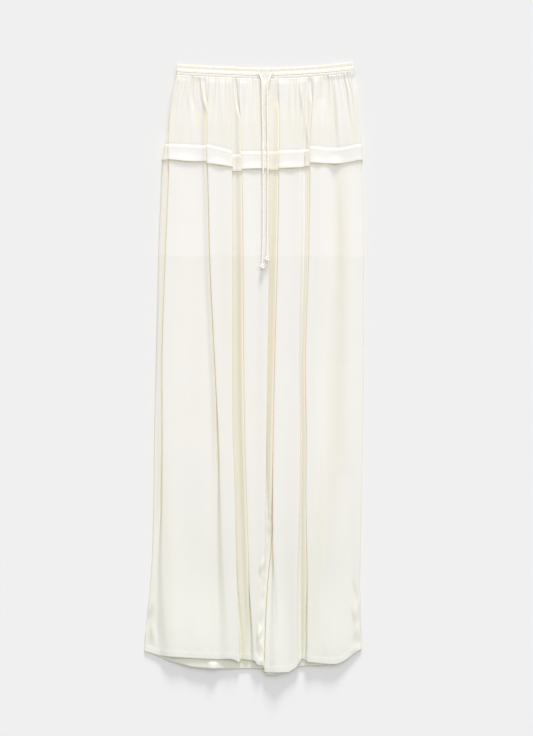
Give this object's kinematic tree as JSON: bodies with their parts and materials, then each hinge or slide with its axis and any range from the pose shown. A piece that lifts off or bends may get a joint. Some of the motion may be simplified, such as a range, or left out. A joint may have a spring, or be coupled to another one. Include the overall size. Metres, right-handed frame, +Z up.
{
  "type": "wide-leg trousers",
  "caption": "Ivory wide-leg trousers laid flat: double-channel drawstring waist, gathered satin yoke, crepe hip band and long pleated crepe legs.",
  "frame": {"origin": "middle of the underside, in the plane that the trousers lie on", "axes": "+Z up out of the front of the garment, +Y from the hems towards the waist, +X to the viewer's right as the garment is seen from above with the waist at the top"},
  "size_m": [0.4066, 1.1321, 0.0172],
  "materials": {
    "ivory_satin": "satin, soft sheen",
    "ivory_crepe": "matte crepe"
  },
  "bodies": {
    "root": {"waistband_front": "ivory_satin", "waistband_back": "ivory_satin", "yoke_front": "ivory_satin", "yoke_back": "ivory_satin", "hip_band_front": "ivory_crepe", "hip_band_back": "ivory_crepe", "leg_front_left": "ivory_crepe", "leg_front_right": "ivory_crepe", "leg_back_left": "ivory_crepe", "leg_back_right": "ivory_crepe", "drawstring_left": "ivory_satin", "drawstring_right": "ivory_satin", "knot_left": "ivory_satin", "knot_right": "ivory_satin"}
  },
  "joints": []
}
